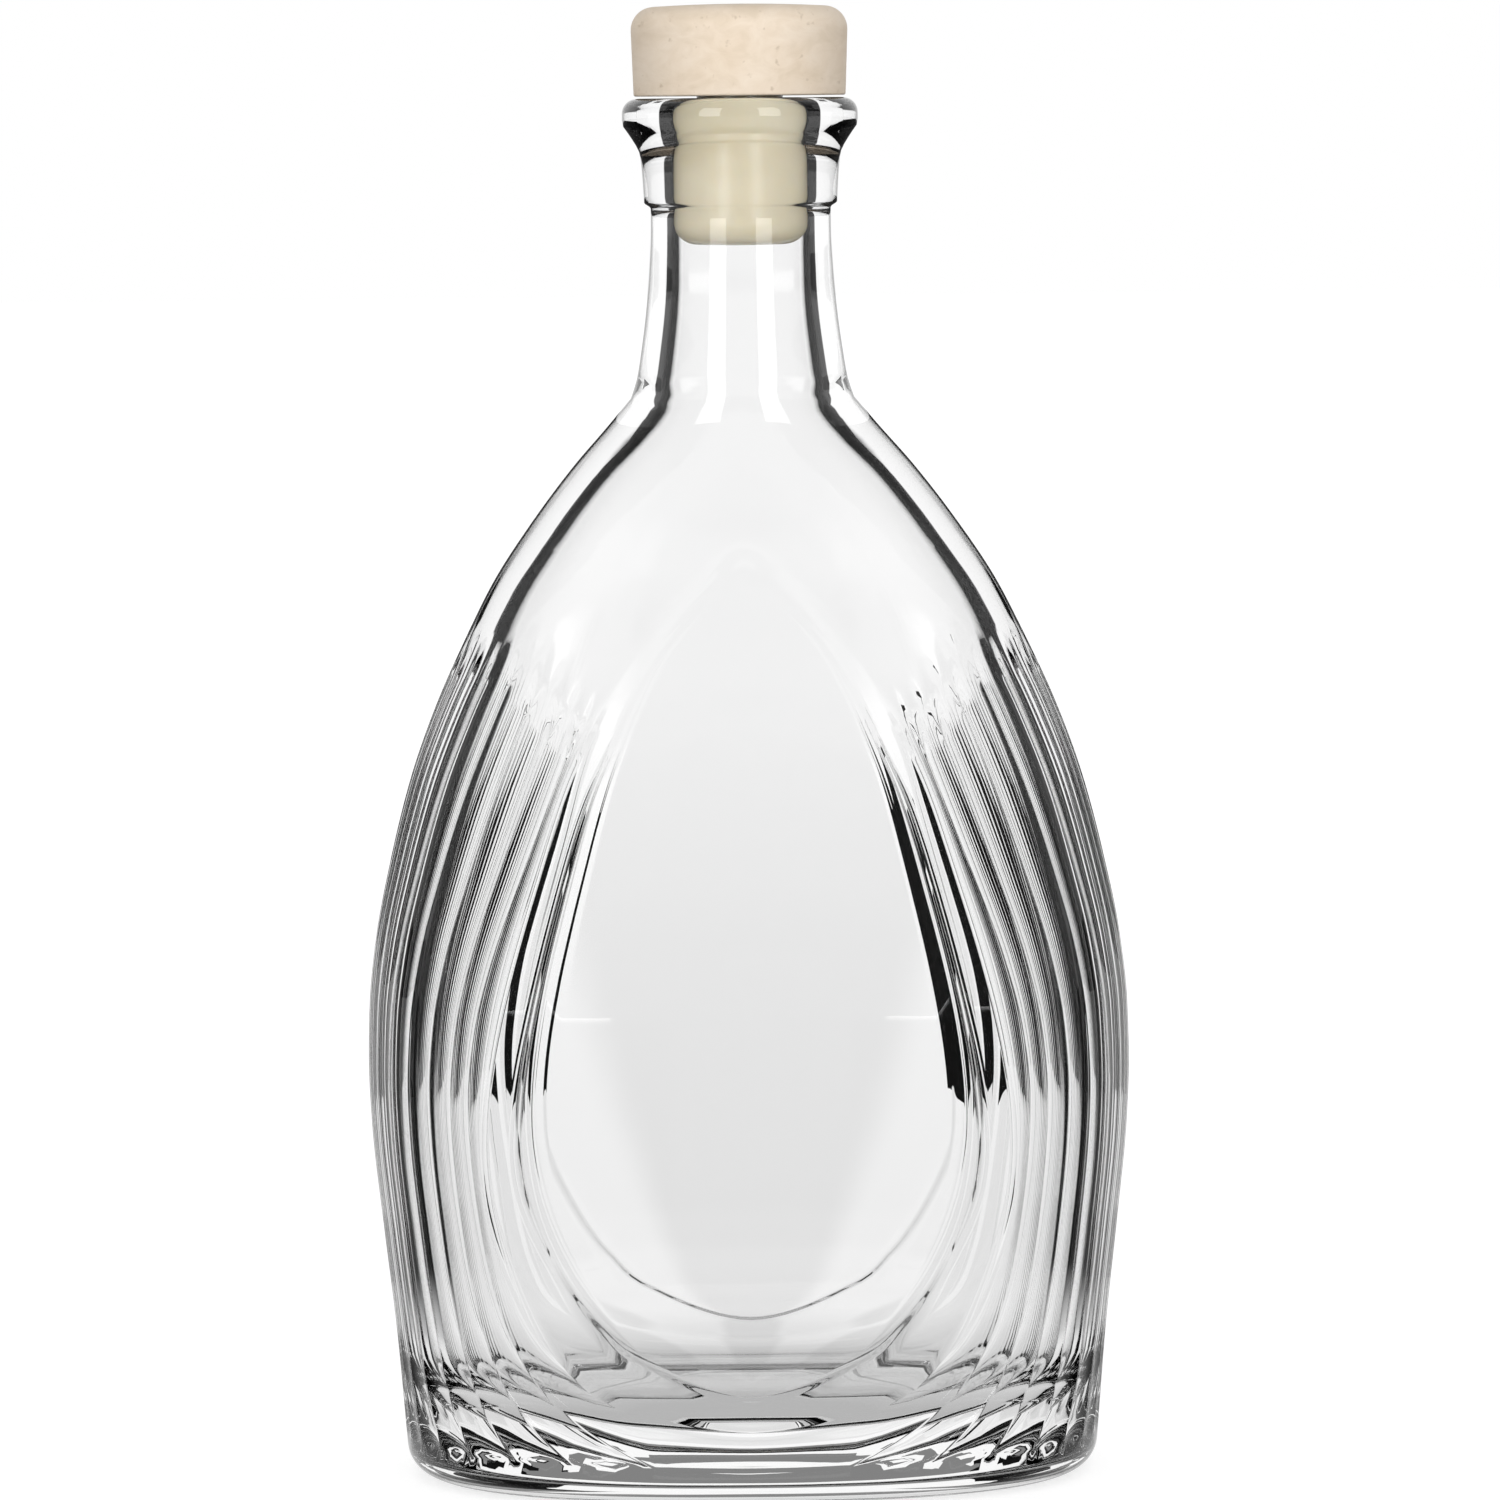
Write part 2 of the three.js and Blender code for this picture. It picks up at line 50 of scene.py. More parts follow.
TIP_LENGTH, TIP_RISE = 6.0, 11.0
PANEL_WIDTH, PANEL_BOTTOM, PANEL_HEIGHT = 62.6, 15.3, 112.7
PANEL_DEPTH, PANEL_STEP, BAND_WIDTH = 0.95, 0.91, 5.2
PLUG_RADIUS, PLUG_LENGTH, PLUG_TIP_RADIUS = 9.3, 20.4, 3.2
PLUG_GROOVE, PLUG_GROOVE_WIDTH, PLUG_GROOVE_DROP = 0.35, 2.0, 3.0
SPIGOT_RADIUS, SPIGOT_LENGTH = 6.0, 6.0
CAP_HEIGHT, CAP_RADIUS, CAP_TAPER = 12.7, 15.05, 0.3
CAP_LOWER_EDGE, CAP_ROUND, CAP_CROWN = 0.3, 3.2, 0.35
CLEAR = 0.3
BORE_RADIUS = PLUG_RADIUS + CLEAR
CAP_BOTTOM = GLASS_HEIGHT + CLEAR
SHANK_TOP = CAP_BOTTOM - CLEAR


def through(stations, column):
    """A smooth line through a few stations, without overshoot, for whole arrays."""
    x = np.array([s[0] for s in stations], float)
    y = np.array([s[column] for s in stations], float)
    slope = np.diff(y) / np.diff(x)
    tangent = np.empty_like(y)
    tangent[0], tangent[-1] = slope[0], slope[-1]
    p, q = slope[:-1], slope[1:]
    same = p * q > 0
    tangent[1:-1] = np.where(same, 2 * p * q / np.where(same, p + q, 1), 0)

    def value(v):
        v = np.clip(v, x[0], x[-1])
        i = np.clip(np.searchsorted(x, v, side="right") - 1, 0, len(x) - 2)
        w = x[i + 1] - x[i]
        t = (v - x[i]) / w
        t2, t3 = t * t, t * t * t
        return (y[i] * (2 * t3 - 3 * t2 + 1) + w * tangent[i] * (t3 - 2 * t2 + t)
                + y[i + 1] * (3 * t2 - 2 * t3) + w * tangent[i + 1] * (t3 - t2))
    return value


def ease(t):
    c = np.clip(t, 0, 1)
    return c * c * (3 - 2 * c)


def mix(a, b, t):
    return a + (b - a) * t


BODY_SHAPE = [
    (0, 0.868, 0.837, 2.4), (0.136, 0.911, 0.913, 2.4), (0.232, 0.953, 0.967, 2.4),
    (0.331, 0.992, 0.997, 2.4), (0.384, 1, 1, 2.4), (0.437, 0.995, 0.99, 2.4),
    (0.497, 0.971, 0.957, 2.38), (0.576, 0.908, 0.88, 2.34), (0.649, 0.832, 0.783, 2.3),
    (0.715, 0.737, 0.652, 2.25), (0.775, 0.629, 0.511, 2.2), (0.831, 0.516, 0.37, 2.15),
    (0.887, 0.368, 0.217, 2.1), (0.937, 0.216, 0.098, 2.05), (0.974, 0.087, 0.03, 2), (1, 0, 0, 2),
]
NECK_SHAPE = [(0, 1), (0.1, 0.72), (0.25, 0.5), (0.45, 0.27), (0.68, 0.09), (0.9, 0), (1, 0)]
FINISH_SHAPE = [(0, 0), (0.35, 0.09), (0.55, 0.19), (0.74, 0.6), (0.9, 1), (1, 1)]
share_width, share_depth, share_square = (through(BODY_SHAPE, c) for c in (1, 2, 3))
neck_taper, finish_flare = through(NECK_SHAPE, 1), through(FINISH_SHAPE, 1)


def neck_radius(z):
    foot = COLLAR_Z + COLLAR_STEP
    low = mix(NECK_RADIUS, NECK_ROOT_RADIUS, neck_taper((z - NECK_ROOT_Z) / (COLLAR_Z - NECK_ROOT_Z)))
    step = mix(NECK_RADIUS, COLLAR_RADIUS, ease((z - COLLAR_Z) / COLLAR_STEP))
    flare = finish_flare((z - foot) / (GLASS_HEIGHT - LIP_ROUND - foot))
    over = np.maximum(0, z - (GLASS_HEIGHT - LIP_ROUND))
    high = mix(COLLAR_RADIUS, LIP_RADIUS, flare) - (
        LIP_ROUND - np.sqrt(np.maximum(0, LIP_ROUND ** 2 - over ** 2)))
    return np.where(z <= COLLAR_Z, low, np.where(z <= foot, step, high))


def section(z):
    """Half width, half depth and squareness of the outside at heights z, without flutes."""
    z = np.asarray(z, float)
    t = z / NECK_ROOT_Z
    below = np.maximum(0, HEEL_RADIUS - z)
    tuck = HEEL_RADIUS - np.sqrt(np.maximum(0, HEEL_RADIUS ** 2 - below ** 2))
    a = mix(NECK_ROOT_RADIUS, BODY_WIDTH / 2, share_width(t)) - tuck
    b = mix(NECK_ROOT_RADIUS, BODY_DEPTH / 2, share_depth(t)) - tuck
    r = neck_radius(z)
    up = z >= NECK_ROOT_Z
    return np.where(up, r, a), np.where(up, r, b), np.where(up, 2.0, share_square(t))


def on_outline(sec, angle, z):
    a, b, n = sec
    r = np.radians(np.clip(angle, 0, 90))
    s = np.where(angle <= 0, 0, np.sin(r))
    c = np.where(angle >= 90, 0, np.cos(r))
    k = (s ** n + c ** n) ** (-1 / n)
    return np.stack([a * s * k, -b * c * k, np.broadcast_to(z, np.shape(s * k)).astype(float)], -1)


def angle_at(x, z):
    a, b, n = section(z)
    u = np.minimum(x / a, 0.9999)
    return np.degrees(np.arctan2(u, (1 - u ** n) ** (1 / n)))


def outside(angle, z, depth):
    """Points of the outside, sunk by depths square to the surface."""
    p = on_outline(section(z), angle, z)
    up = on_outline(section(z + 0.4), angle, z + 0.4) - on_outline(section(z - 0.4), angle, z - 0.4)
    lo, hi = np.maximum(0, angle - 0.4), np.minimum(90, angle + 0.4)
    along = on_outline(section(z), hi, z) - on_outline(section(z), lo, z)
    normal = np.cross(along, up)
    normal[..., 0] = np.where(angle <= 0, 0, normal[..., 0])
    normal[..., 1] = np.where(angle >= 90, 0, normal[..., 1])
    normal /= np.linalg.norm(normal, axis=-1, keepdims=True)
    return p - normal * np.asarray(depth)[..., None]


PANEL_SHAPE = [
    (0, 0, 0.87), (0.476, 0.047, 1.42), (0.652, 0.088, 1.5), (0.767, 0.128, 1.44), (0.856, 0.17, 1.3),
    (0.933, 0.215, 1.15), (0.984, 0.264, 1.05), (1, 0.326, 1), (0.968, 0.414, 0.97),
    (0.888, 0.521, 0.92), (0.776, 0.636, 0.83), (0.681, 0.72, 0.8), (0.594, 0.778, 0.77),
    (0.479, 0.845, 0.65), (0.351, 0.902, 0.55), (0.192, 0.951, 0.5), (0, 1, 0.35),
]
PANEL_END = len(PANEL_SHAPE) - 1


def panel_edge(t):
    """Place t of the panel edge: x, height, outward direction and band width."""
    i = min(int(math.floor(t)), PANEL_END - 1)
    f = t - i
    four = []
    for k in (i - 1, i, i + 1, i + 2):
        w, h, band = PANEL_SHAPE[-k if k < 0 else 2 * PANEL_END - k if k > PANEL_END else k]
        four.append((-w if k < 0 or k > PANEL_END else w, h, band))
    out = []
    for c in range(3):
        p0, p1, p2, p3 = (s[c] for s in four)
        m1, m2 = (p2 - p0) / 2, (p3 - p1) / 2
        v = (p1 * (2 * f ** 3 - 3 * f * f + 1) + m1 * (f ** 3 - 2 * f * f + f)
             + p2 * (3 * f * f - 2 * f ** 3) + m2 * (f ** 3 - f * f))
        d = (p2 - p1) * (6 * f - 6 * f * f) + m1 * (3 * f * f - 4 * f + 1) + m2 * (3 * f * f - 2 * f)
        out.append((v, d))
    end = t <= 0 or t >= PANEL_END
    x = 0.0 if end else PANEL_WIDTH / 2 * out[0][0]
    z = PANEL_BOTTOM + PANEL_HEIGHT * out[1][0]
    dx, dz = PANEL_HEIGHT * out[1][1], -PANEL_WIDTH / 2 * out[0][1]
    size = math.hypot(dx, dz)
    return x, z, (0.0 if end else dx / size), dz / size, BAND_WIDTH * out[2][0]


def panel_floor(z):
    return PANEL_DEPTH * mix(1, 0.25, ease((z - PANEL_BOTTOM) / PANEL_HEIGHT * 2.2 - 1.2))


def beside_panel(t, offset):
    x, z, dx, dz, _ = panel_edge(t)
    zz = z + dz * offset
    return float(angle_at(max(0.0, x + dx * offset), zz)), zz


RIDGES = [(15.5, 43.1), (28.5, 46.6), (38.8, 51.3), (48.3, 57.2), (57, 63.4), (65.3, 70),
          (73.6, 76.7), (81.8, 83.4), (90, 90)]
MID_PLACE, BEND, TIP_PLACE = 7, 10.0, 12.55
mid_angle, mid_z = beside_panel(MID_PLACE, panel_edge(MID_PLACE)[4])
tip_angle, tip_z = beside_panel(TIP_PLACE, panel_edge(TIP_PLACE)[4])

UNDER = list(np.linspace(0, 0.8, 9))
FLUTED = list(np.arange(0.92, 5.0, 0.2)) + list(np.arange(5.0, 11.6, 0.16)) + list(
    np.linspace(11.6, TIP_PLACE, 13))
OVER = list(np.linspace(TIP_PLACE, PANEL_END, 15)[1:])
PLACES = UNDER + FLUTED + OVER
FIRST, TIP_ROW = len(UNDER) - 1, len(UNDER) + len(FLUTED) - 1
BAND_OUTER = [beside_panel(t, panel_edge(t)[4]) for t in PLACES]


def ridge(k, j):
    """Ridge k on row j: its angle and height."""
    foot, mid = RIDGES[k]
    share = (mid - mid_angle) / (90 - mid_angle)
    band_angle, band_z = BAND_OUTER[j]
    tip = mix(tip_angle, 90, share)
    top = tip_z + TIP_RISE * float(ease((tip - tip_angle) / 25))
    if j <= TIP_ROW:
        start = BAND_OUTER[FIRST][1]
        z = mix(HEEL_HEIGHT, top, (band_z - start) / (tip_z - start))

        def swing(h):
            return 1 - math.exp(-(h - HEEL_HEIGHT) / BEND)
        if z < mid_z:
            return mix(foot, mid, swing(z) / swing(mid_z)), z
        fall = (z - mid_z) / (top - mid_z)
        upper = mix(mid_angle, tip_angle, float(ease(fall * 0.83) / ease(0.83)))
        return mix(upper, 90, share), z
    apex = BAND_OUTER[-1][1]
    rise = (band_z - tip_z) / (apex - tip_z)
    return mix(band_angle, 90, share), mix(top, apex + 1.5 * share, rise)


PANEL_COLUMNS, STEP_COLUMNS, BAND_COLUMNS, SEGMENTS = 8, 5, 5, 8
BAND_AT = PANEL_COLUMNS + STEP_COLUMNS + BAND_COLUMNS
RIDGE_AT = BAND_AT + SEGMENTS
INNER_SHARE, INSIDE_FROM, INSIDE_FADE = 0.953, 42, 20


def body_grid():
    """Angle, height and depth of the front right quarter's fluted part, row by row."""
    rows = []
    for j, t in enumerate(PLACES):
        x, z, dx, dz, band = panel_edge(t)
        edge_angle = float(angle_at(x, z))
        middle = PANEL_BOTTOM + PANEL_HEIGHT * float(ease(t / PANEL_END)) ** 1.1
        middle = z if t <= 0 or t >= PANEL_END else middle
        row = []
        for c in range(PANEL_COLUMNS + 1):
            s = c / PANEL_COLUMNS
            h = mix(middle, z, s)
            row.append((edge_angle * s, h, float(panel_floor(h))))
        step = min(PANEL_STEP, band * 0.4)
        floor = float(panel_floor(z))
        offsets = [step * i / STEP_COLUMNS for i in range(1, STEP_COLUMNS + 1)]
        offsets += [mix(step, band, i / BAND_COLUMNS) for i in range(1, BAND_COLUMNS + 1)]
        for off in offsets:
            depth = floor * (0.6 * (1 - float(ease(off / step))) + 0.4 * (1 - off / band))
            row.append((*beside_panel(t, off), depth))
        places = [BAND_OUTER[j]]
        if j < FIRST:
            places.append((RIDGES[0][0] * j / FIRST, HEEL_HEIGHT))
        else:
            places += [ridge(k, j) for k in range(len(RIDGES))]
        for k in range(len(places) - 1):
            (a0, z0), (a1, z1) = places[k], places[k + 1]
            ends = on_outline(section(np.array([z0, z1])), np.array([a0, a1]), np.array([z0, z1]))
            width = float(np.linalg.norm(ends[1] - ends[0]))
            deep = FLUTE_DEPTH * min(1, width / FLUTE_FULL_WIDTH)
            foot = 1 if k == 0 else float(ease((z1 - HEEL_HEIGHT) / FLUTE_RUN_OUT))
            full = min(min(1, max(0, (tip_z - BAND_OUTER[j][1]) / TIP_LENGTH)), foot)
            for s in range(1, SEGMENTS + 1):
                u = 0.5 - 0.5 * math.cos(math.pi * s / SEGMENTS)
                depth = deep * max(0, full - (2 * u - 1) ** 2) if j < TIP_ROW else 0
                row.append((mix(a0, a1, u), mix(z0, z1, u), depth))
        rows.append(row)
    return rows


WELD = 2e4  # corners less than about 1 / WELD of a millimetre apart become one


class Skin:
    """Collects quads of the front right quarter and mirrors them to the other three."""

    def __init__(self):
        self.quads = []

    def add(self, lower, upper):
        a, b = np.asarray(lower), np.asarray(upper)
        self.quads.append(np.stack([a[:-1], a[1:], b[1:], b[:-1]], 1))

    def grid(self, rows):
        for lower, upper in zip(rows[:-1], rows[1:]):
            self.add(lower, upper)

    def mesh(self, name):
        quads = np.concatenate(self.quads)
        quads[np.abs(quads) < 1e-7] = 0
        whole = []
        for sx, sy in ((1, 1), (-1, 1), (1, -1), (-1, -1)):
            q = quads * np.array([sx, sy, 1])
            whole.append(q if sx * sy > 0 else q[:, ::-1])
        points = np.concatenate(whole).reshape(-1, 3)
        keys, index = np.unique(np.round(points * WELD).astype(np.int64), axis=0, return_inverse=True)
        index = index.reshape(-1, 4)
        faces = []
        for f in index:
            g = [int(v) for i, v in enumerate(f) if v != f[i - 1]]
            if len(g) > 2 and g[0] == g[-1]:
                g.pop()
            if len(set(g)) > 2:
                faces.append(g)
        me = bpy.data.meshes.new(name)
        me.from_pydata((keys / WELD * 0.001).tolist(), [], faces)
        me.validate()
        me.shade_smooth()
        return me


def ring(sec, z, angles):
    return on_outline(sec, angles, np.full(len(angles), float(z)))


def bottle_mesh():
    skin = Skin()
    rows = body_grid()
    points = []
    for row in rows:
        g = np.array(row)
        points.append(outside(g[:, 0], g[:, 1], g[:, 2]))
    for j in range(FIRST):
        skin.add(points[j][:RIDGE_AT + 1], points[j + 1][:RIDGE_AT + 1])
    skin.grid(points[FIRST:])
    last = points[-1][BAND_AT:]
    angles = np.array([r[0] for r in rows[-1][BAND_AT:]])
    # shoulder, neck, finish and lip
    foot = COLLAR_Z + COLLAR_STEP
    heights = (list(np.linspace(NECK_ROOT_Z, COLLAR_Z, 21)[1:]) + list(np.linspace(COLLAR_Z, foot, 5)[1:])
               + list(np.linspace(foot, GLASS_HEIGHT - LIP_ROUND, 15)[1:])
               + [GLASS_HEIGHT - LIP_ROUND * (1 - math.sin(u)) for u in np.linspace(0, 1.5, 9)[1:]])
    top_angles = np.linspace(0, 90, len(angles))
    outer = [last]
    for u in np.linspace(0, 1, 17)[1:]:
        zz = mix(last[:, 2], NECK_ROOT_Z, u)
        outer.append(on_outline(section(zz), mix(angles, top_angles, float(ease(u))), zz))
    for z in heights:
        outer.append(ring(section(z), z, top_angles))
    skin.grid(outer)

    # inside
    bore_foot = GLASS_HEIGHT - PLUG_LENGTH - 2

    def widest(a, b):
        """The larger of two sizes, rounded over where they meet."""
        return (a + b + math.hypot(a - b, 0.25)) / 2

    def inner(z):
        if z >= bore_foot:
            return BORE_RADIUS, BORE_RADIUS, 2.0
        over = max(0.0, BASE_THICKNESS + FLOOR_RADIUS - z)
        tuck = FLOOR_RADIUS - math.sqrt(max(0.0, FLOOR_RADIUS ** 2 - over ** 2))
        s, up, down = section(z), section(z + 1), section(z - 1)
        wall = [WALL * math.hypot(1, (up[i] - down[i]) / 2) for i in (0, 1)]
        a, b = (widest(BORE_RADIUS, float(s[i]) - wall[i] - tuck) for i in (0, 1))
        return a, b, float(s[2])

    def circle(r):
        return r, r, 2.0
    inside = [ring(circle(LIP_RADIUS - LIP_ROUND), GLASS_HEIGHT, top_angles)]
    inside += [ring(circle(BORE_RADIUS + MOUTH_CHAMFER * (1 - math.sin(u))),
                    GLASS_HEIGHT - MOUTH_CHAMFER * (1 - math.cos(u)), top_angles)
               for u in np.linspace(0, math.pi / 2, 6)]
    skin.add(outer[-1], inside[0])
    skin.grid(inside)
    heights = ([GLASS_HEIGHT - MOUTH_CHAMFER - 4, bore_foot]
               + list(np.linspace(bore_foot, NECK_ROOT_Z, 14)[1:])
               + list(np.linspace(NECK_ROOT_Z, 20, 78)[1:])
               + [BASE_THICKNESS + FLOOR_RADIUS * (1 - math.sin(u))
                  for u in np.linspace(0, math.pi / 2, 12)[1:]])
    below = [inside[-1]]
    for z in heights:
        below.append(ring(inner(z), z, top_angles))
    below.append(ring((0.0, 0.0, 2.0), BASE_THICKNESS, top_angles))
    skin.grid(below)

    # heel, resting face and the hollow under the base
    line = [p[RIDGE_AT] for p in points[:FIRST]] + list(points[FIRST][RIDGE_AT:])
    heel_angles = np.array([r[RIDGE_AT][0] for r in rows[:FIRST]] + [c[0] for c in rows[FIRST][RIDGE_AT:]])
    base = [float(v) for v in section(0.0)]

    def shrink(by):
        return base[0] - by, base[1] - by, base[2]
    heel = [ring((0.0, 0.0, 2.0), PUNT_HEIGHT, heel_angles),
            ring(shrink(FOOT_RING + PUNT_SLOPE + 4), PUNT_HEIGHT, heel_angles)]
    for u in np.linspace(0, 1, 7):
        height = PUNT_HEIGHT * (1 - float(ease(u)))
        heel.append(ring(shrink(FOOT_RING + PUNT_SLOPE * (1 - u)), height, heel_angles))
    heel += [ring(section(HEEL_RADIUS * (1 - math.cos(u))), HEEL_RADIUS * (1 - math.cos(u)), heel_angles)
             for u in np.linspace(0, math.pi / 2, 10)]
    heel.append(np.array(line))
    skin.grid(heel)
    mesh = skin.mesh("bottle_glass")
    place = np.array([v.co for v in mesh.vertices]) * 1000
    a, b, n = section(place[:, 2])
    share = ((np.abs(place[:, 0]) / a) ** n + (np.abs(place[:, 1]) / b) ** n) ** (1 / n)
    # 1 on the inner face of the walls above the flutes' lower half, 0 on the outside and at the foot; where
    # it is 1 the glass's painted edge shade sets in sooner
    inside = (share < INNER_SHARE) * np.clip((place[:, 2] - INSIDE_FROM) / INSIDE_FADE, 0, 1)
    mesh.attributes.new("inside", "FLOAT", "POINT").data.foreach_set("value", inside)
    return mesh


def turned(name, profile, sides):
    """A turned piece from (radius, height) points that run from the axis round to the axis."""
    verts, rings = [], []
    for r, z in profile:
        if r < 1e-6:
            rings.append([len(verts)])
            verts.append((0, 0, z * 0.001))
        else:
            rings.append(list(range(len(verts), len(verts) + sides)))
            for i in range(sides):
                a = 2 * math.pi * i / sides
                verts.append((r * math.cos(a) * 0.001, r * math.sin(a) * 0.001, z * 0.001))
    faces = []
    for lo, hi in zip(rings[:-1], rings[1:]):
        for i in range(sides):
            k = (i + 1) % sides
            if len(lo) == 1 and len(hi) > 1:
                faces.append((lo[0], hi[k], hi[i]))
            elif len(hi) == 1 and len(lo) > 1:
                faces.append((lo[i], lo[k], hi[0]))
            elif len(lo) > 1:
                faces.append((lo[i], lo[k], hi[k], hi[i]))
    me = bpy.data.meshes.new(name)
    me.from_pydata(verts, [], faces)
    me.validate()
    me.shade_smooth()
    me.set_sharp_from_angle(angle=math.radians(40))
    return me


def arc(cx, cz, r, start, end, steps):
    return [(cx + r * math.cos(math.radians(mix(start, end, i / steps))),
             cz + r * math.sin(math.radians(mix(start, end, i / steps)))) for i in range(steps + 1)]


def piece(name, mesh, node, body, material):
    obj = bpy.data.objects.new(name, mesh)
    scene.collection.objects.link(obj)
    mesh.materials.append(material)
    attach(obj, body)
    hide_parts(node)
    return obj


# Materials
def material(name):
    m = bpy.data.materials.new(name)
    m.use_nodes = True
    t = m.node_tree
    return m, t, t.nodes["Principled BSDF"], t.nodes["Material Output"]


def node(tree, kind, inputs=(), **props):
    n = tree.nodes.new(kind)
    for key, value in props.items():
        setattr(n, key, value)
    for key, value in dict(inputs).items():
        if hasattr(value, "is_output"):
            tree.links.new(value, n.inputs[key])
        else:
            n.inputs[key].default_value = value
    return n


def glass_material():
    m, t, bsdf, _ = material("clear_glass")
    # painted shade: the glass's colour turns dark where rays meet the walls edge-on, sooner on the inside
    # than on the outside
    facing = node(t, "ShaderNodeLayerWeight", {"Blend": 0.5}).outputs["Facing"]
    inside = node(t, "ShaderNodeAttribute", attribute_name="inside").outputs["Fac"]
    edge_shade_mask = node(t, "ShaderNodeMath", {0: inside, 1: 0.26, 2: facing}, operation="MULTIPLY_ADD").outputs[0]
    shade = ramp(t, edge_shade_mask, [(0.74, (1, 1, 1)), (0.84, (0.004, 0.004, 0.004))])
    t.links.new(shade, bsdf.inputs["Base Color"])
    bsdf.inputs["Transmission Weight"].default_value = 1
    bsdf.inputs["IOR"].default_value = 1.5
    where = node(t, "ShaderNodeTexCoord").outputs["Object"]
    smear = node(t, "ShaderNodeTexNoise", {"Vector": where, "Scale": 260.0, "Detail": 2.0})
    rough = node(t, "ShaderNodeMapRange", {"Value": smear.outputs["Fac"], "From Min": 0.35, "From Max": 0.75,
                                           "To Min": 0.0, "To Max": 0.012})
    t.links.new(rough.outputs["Result"], bsdf.inputs["Roughness"])
    wave = node(t, "ShaderNodeTexNoise", {"Vector": where, "Scale": 70.0, "Detail": 1.5, "Roughness": 0.4})
    bump = node(t, "ShaderNodeBump", {"Strength": 0.1, "Distance": 0.0004, "Height": wave.outputs["Fac"]})
    t.links.new(bump.outputs["Normal"], bsdf.inputs["Normal"])
    return m


def ramp(tree, value, stops):
    n = node(tree, "ShaderNodeValToRGB", {"Fac": value})
    els = n.color_ramp.elements
    while len(els) < len(stops):
        els.new(0.5)
    for e, (pos, colour) in zip(els, stops):
        e.position, e.color = pos, (*colour, 1)
    return n.outputs["Color"]


def wood_material():
    m, t, bsdf, _ = material("pale_wood")
    where = node(t, "ShaderNodeTexCoord").outputs["Object"]
    grain_space = node(t, "ShaderNodeMapping", {"Vector": where, "Scale": (260.0, 60.0, 420.0)})
    grain = node(t, "ShaderNodeTexNoise", {"Vector": grain_space.outputs["Vector"], "Scale": 1.0,
                                           "Detail": 5.0, "Roughness": 0.62, "Distortion": 0.6})
    blotch = node(t, "ShaderNodeTexNoise", {"Vector": where, "Scale": 150.0, "Detail": 3.0,
                                            "Roughness": 0.55})
    base = ramp(t, grain.outputs["Fac"], [(0.3, (0.7, 0.59, 0.46)), (0.5, (0.76, 0.65, 0.525)),
                                          (0.7, (0.8, 0.7, 0.58))])
    warm = ramp(t, blotch.outputs["Fac"], [(0.3, (0.95, 0.92, 0.88)), (0.55, (1, 0.99, 0.98)),
                                           (0.75, (1, 1, 1))])
    tint = node(t, "ShaderNodeMix", data_type="RGBA", blend_type="MULTIPLY")
    tint.inputs["Factor"].default_value = 1
    t.links.new(base, tint.inputs[6])
    t.links.new(warm, tint.inputs[7])
    fleck_space = node(t, "ShaderNodeMapping", {"Vector": where, "Scale": (900.0, 240.0, 900.0)})
    fleck = node(t, "ShaderNodeTexNoise", {"Vector": fleck_space.outputs["Vector"], "Scale": 1.0,
                                           "Detail": 2.0})
    pores = node(t, "ShaderNodeMapRange", {"Value": fleck.outputs["Fac"], "From Min": 0.66, "From Max": 0.78,
                                           "To Min": 0.0, "To Max": 0.5})
    dark = node(t, "ShaderNodeMix", data_type="RGBA", blend_type="MIX")
    t.links.new(pores.outputs["Result"], dark.inputs["Factor"])
    t.links.new(tint.outputs[2], dark.inputs[6])
    dark.inputs[7].default_value = (0.42, 0.31, 0.2, 1)
    t.links.new(dark.outputs[2], bsdf.inputs["Base Color"])
    rough = node(t, "ShaderNodeMapRange", {"Value": grain.outputs["Fac"], "To Min": 0.5, "To Max": 0.68})
    t.links.new(rough.outputs["Result"], bsdf.inputs["Roughness"])
    bump = node(t, "ShaderNodeBump", {"Strength": 0.25, "Distance": 0.0002, "Height": grain.outputs["Fac"]})
    t.links.new(bump.outputs["Normal"], bsdf.inputs["Normal"])
    return m


def cork_material():
    m, t, bsdf, _ = material("cream_cork")
    where = node(t, "ShaderNodeTexCoord").outputs["Object"]
    cells = node(t, "ShaderNodeTexNoise", {"Vector": where, "Scale": 700.0, "Detail": 4.0, "Roughness": 0.6})
    cloud = node(t, "ShaderNodeTexNoise", {"Vector": where, "Scale": 90.0, "Detail": 2.0})
    base = ramp(t, cloud.outputs["Fac"], [(0.35, (0.73, 0.655, 0.475)), (0.65, (0.82, 0.75, 0.575))])
    t.links.new(base, bsdf.inputs["Base Color"])
    rough = node(t, "ShaderNodeMapRange", {"Value": cells.outputs["Fac"], "To Min": 0.12, "To Max": 0.26})
    t.links.new(rough.outputs["Result"], bsdf.inputs["Roughness"])
    bsdf.inputs["Subsurface Weight"].default_value = 0.25
    bsdf.inputs["Subsurface Radius"].default_value = (0.004, 0.003, 0.0018)
    bsdf.inputs["Subsurface Scale"].default_value = 1.0
    bump = node(t, "ShaderNodeBump", {"Strength": 0.2, "Distance": 0.00015, "Height": cells.outputs["Fac"]})
    t.links.new(bump.outputs["Normal"], bsdf.inputs["Normal"])
    return m


glass = piece("bottle_glass", bottle_mesh(), "bottle", "bottle", glass_material())

